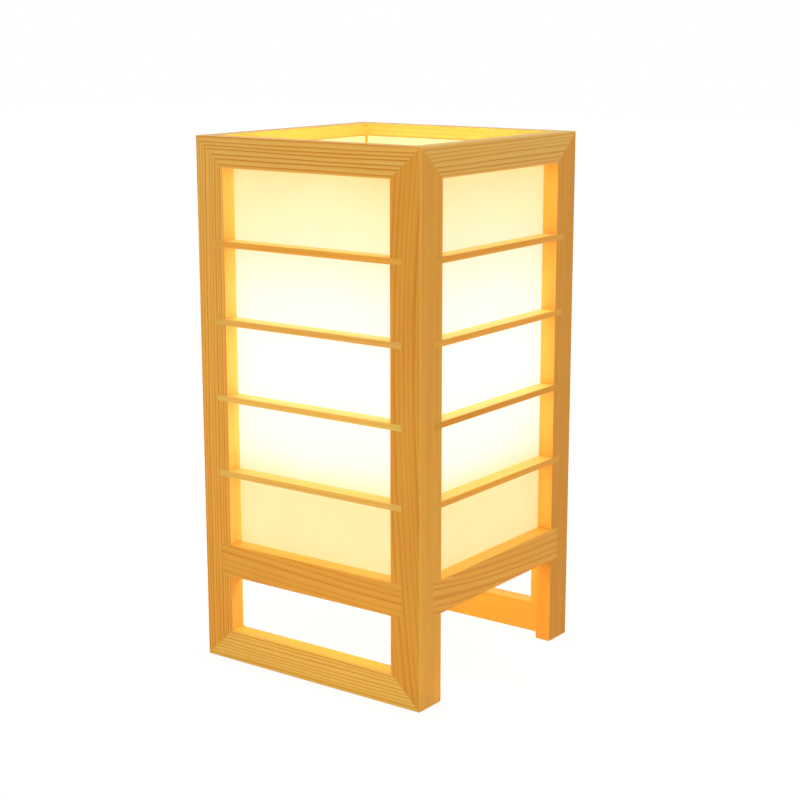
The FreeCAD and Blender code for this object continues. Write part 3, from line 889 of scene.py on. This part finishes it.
def rolled_screw_cap():
    low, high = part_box("bulb_screw_cap")
    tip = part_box("bulb_insulator")[1].x
    core = high.x - CAP_THREAD
    thread_low, thread_high = low.z + CAP_TAPER, high.z - CAP_COLLAR
    cap = turn("bulb_screw_cap_metal", (
        (0, low.z), (tip, low.z), (core - CAP_INSIDE, thread_low), (core - CAP_INSIDE, thread_high),
        (high.x - CAP_INSIDE, thread_high + CAP_INSIDE), (high.x - CAP_INSIDE, high.z), (0, high.z)))
    rounds = [step / 8 for step in range(9)]
    ridge = [(core + CAP_THREAD * (1 - math.cos(math.tau * rise)) / 2, rise) for rise in rounds]
    combine(cap, wind_thread("cap_thread", ridge, CAP_PITCH, thread_low, thread_high), "UNION")
    smooth(cap)
    return cap


def turned_housing():
    low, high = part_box("bulb_housing")
    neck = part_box("bulb_screw_cap")[1].x
    steps = [step / 8 for step in range(9)]
    flare = [(neck + (high.x - neck) * math.sin(math.pi / 2 * s), low.z + HOUSING_FLARE * s) for s in steps]
    housing = turn("bulb_housing_moulding", [
        (0, low.z), *flare, (high.x, high.z - HOUSING_EDGE), (high.x - HOUSING_EDGE, high.z), (0, high.z)])
    smooth(housing)
    return housing


def turned_diffuser():
    low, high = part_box("bulb_diffuser")
    end = arc((high.x - DIFFUSER_ROUND, high.z - DIFFUSER_ROUND), DIFFUSER_ROUND, 0, 90, steps=10)
    diffuser = turn("bulb_diffuser_opal", [
        (0, low.z), (high.x - HOUSING_EDGE, low.z), (high.x, low.z + HOUSING_EDGE), *end, (0, high.z)])
    smooth(diffuser)
    return diffuser


fix(rolled_screw_cap(), bulb_cap_metal, "bulb_screw_cap", "bulb")
fix(turned_housing(), bulb_housing, "bulb_housing", "bulb")
fix(turned_diffuser(), diffuser_material(), "bulb_diffuser", "bulb")
finish_node("bulb_end_contact", contact_metal)
finish_node("bulb_insulator", bulb_insulator)

# Floor, light and camera: a plain white table and a soft even light, seen from the near corner.
FLOOR_SIZE = 12
TABLE_WHITE = (0.95, 0.95, 0.95, 1)
TABLE_SHADE = (0.22, 0.22, 0.22, 1)
TABLE_GLOW = 0.84
ROOM_LIGHT = 0.78
KEY_PLACE = Vector((0.65, -1.75, 1.2))
KEY_AIM = Vector((0, 0, 0.18))
KEY_POWER = 5.5
KEY_WIDTH = 1.6
CAMERA_PLACE = Vector((0.6782, -0.9171, 0.4307))
CAMERA_AZIMUTH, CAMERA_ELEVATION, CAMERA_ROLL = map(math.radians, (36.123, 12.621, -0.05))
LENS, SENSOR = 76.94, 36


def seen_straight(tree):
    """1 where the camera sees a surface, straight or in a reflection, and 0 where it only gives light."""
    ray = add_node(tree, "LightPath").outputs
    mirrored = maths(tree, "MAXIMUM", ray["Is Glossy Ray"], ray["Is Transmission Ray"])
    return maths(tree, "MAXIMUM", ray["Is Camera Ray"], mirrored)


bpy.ops.object.select_all(action="DESELECT")
bpy.ops.mesh.primitive_plane_add(size=FLOOR_SIZE)
floor = bpy.context.object
floor.name = "floor"
floor_material, tree, shader = new_material("white_table")
shader.inputs["Base Color"].default_value = TABLE_WHITE
shader.inputs["Roughness"].default_value = 0.8
shader.inputs["Specular IOR Level"].default_value = 0.0
lit = add_node(tree, "BsdfDiffuse", {"Color": TABLE_SHADE}).outputs[0]
white = add_node(tree, "Emission", {"Color": (1, 1, 1, 1), "Strength": TABLE_GLOW}).outputs[0]
shown = add_node(tree, "AddShader", {0: lit, 1: white}).outputs[0]
mixed = add_node(tree, "MixShader", {0: seen_straight(tree), 1: shader.outputs[0], 2: shown}).outputs[0]
tree.links.new(mixed, tree.nodes["Material Output"].inputs["Surface"])
floor.data.materials.append(floor_material)

world = bpy.data.worlds.new("studio")
bpy.context.scene.world = world
world.use_nodes = True
tree = world.node_tree
background = tree.nodes["Background"]
background.inputs["Color"].default_value = (1, 1, 1, 1)
brightness = maths(tree, "MULTIPLY_ADD", seen_straight(tree), 1 - ROOM_LIGHT, ROOM_LIGHT)
tree.links.new(brightness, background.inputs["Strength"])

key_turn = (KEY_AIM - KEY_PLACE).to_track_quat("-Z", "Y").to_matrix().to_4x4()
key_matrix = Matrix.Translation(KEY_PLACE) @ key_turn
hang_lamp("key", KEY_POWER, (1, 1, 1), key_matrix, shape="DISK", size=KEY_WIDTH)

level = Vector((math.sin(CAMERA_AZIMUTH), -math.cos(CAMERA_AZIMUTH), 0))
backward = level * math.cos(CAMERA_ELEVATION) + Vector((0, 0, math.sin(CAMERA_ELEVATION)))
rightward = Vector((math.cos(CAMERA_AZIMUTH), math.sin(CAMERA_AZIMUTH), 0))
axes = Matrix((rightward, backward.cross(rightward), backward)).transposed().to_4x4()
camera = bpy.data.objects.new("camera", bpy.data.cameras.new("camera"))
bpy.context.scene.collection.objects.link(camera)
camera.matrix_world = Matrix.Translation(CAMERA_PLACE) @ axes @ Matrix.Rotation(CAMERA_ROLL, 4, "Z")
camera.data.lens = LENS
camera.data.sensor_width = SENSOR
bpy.context.scene.camera = camera
bpy.context.scene.view_settings.view_transform = "Standard"
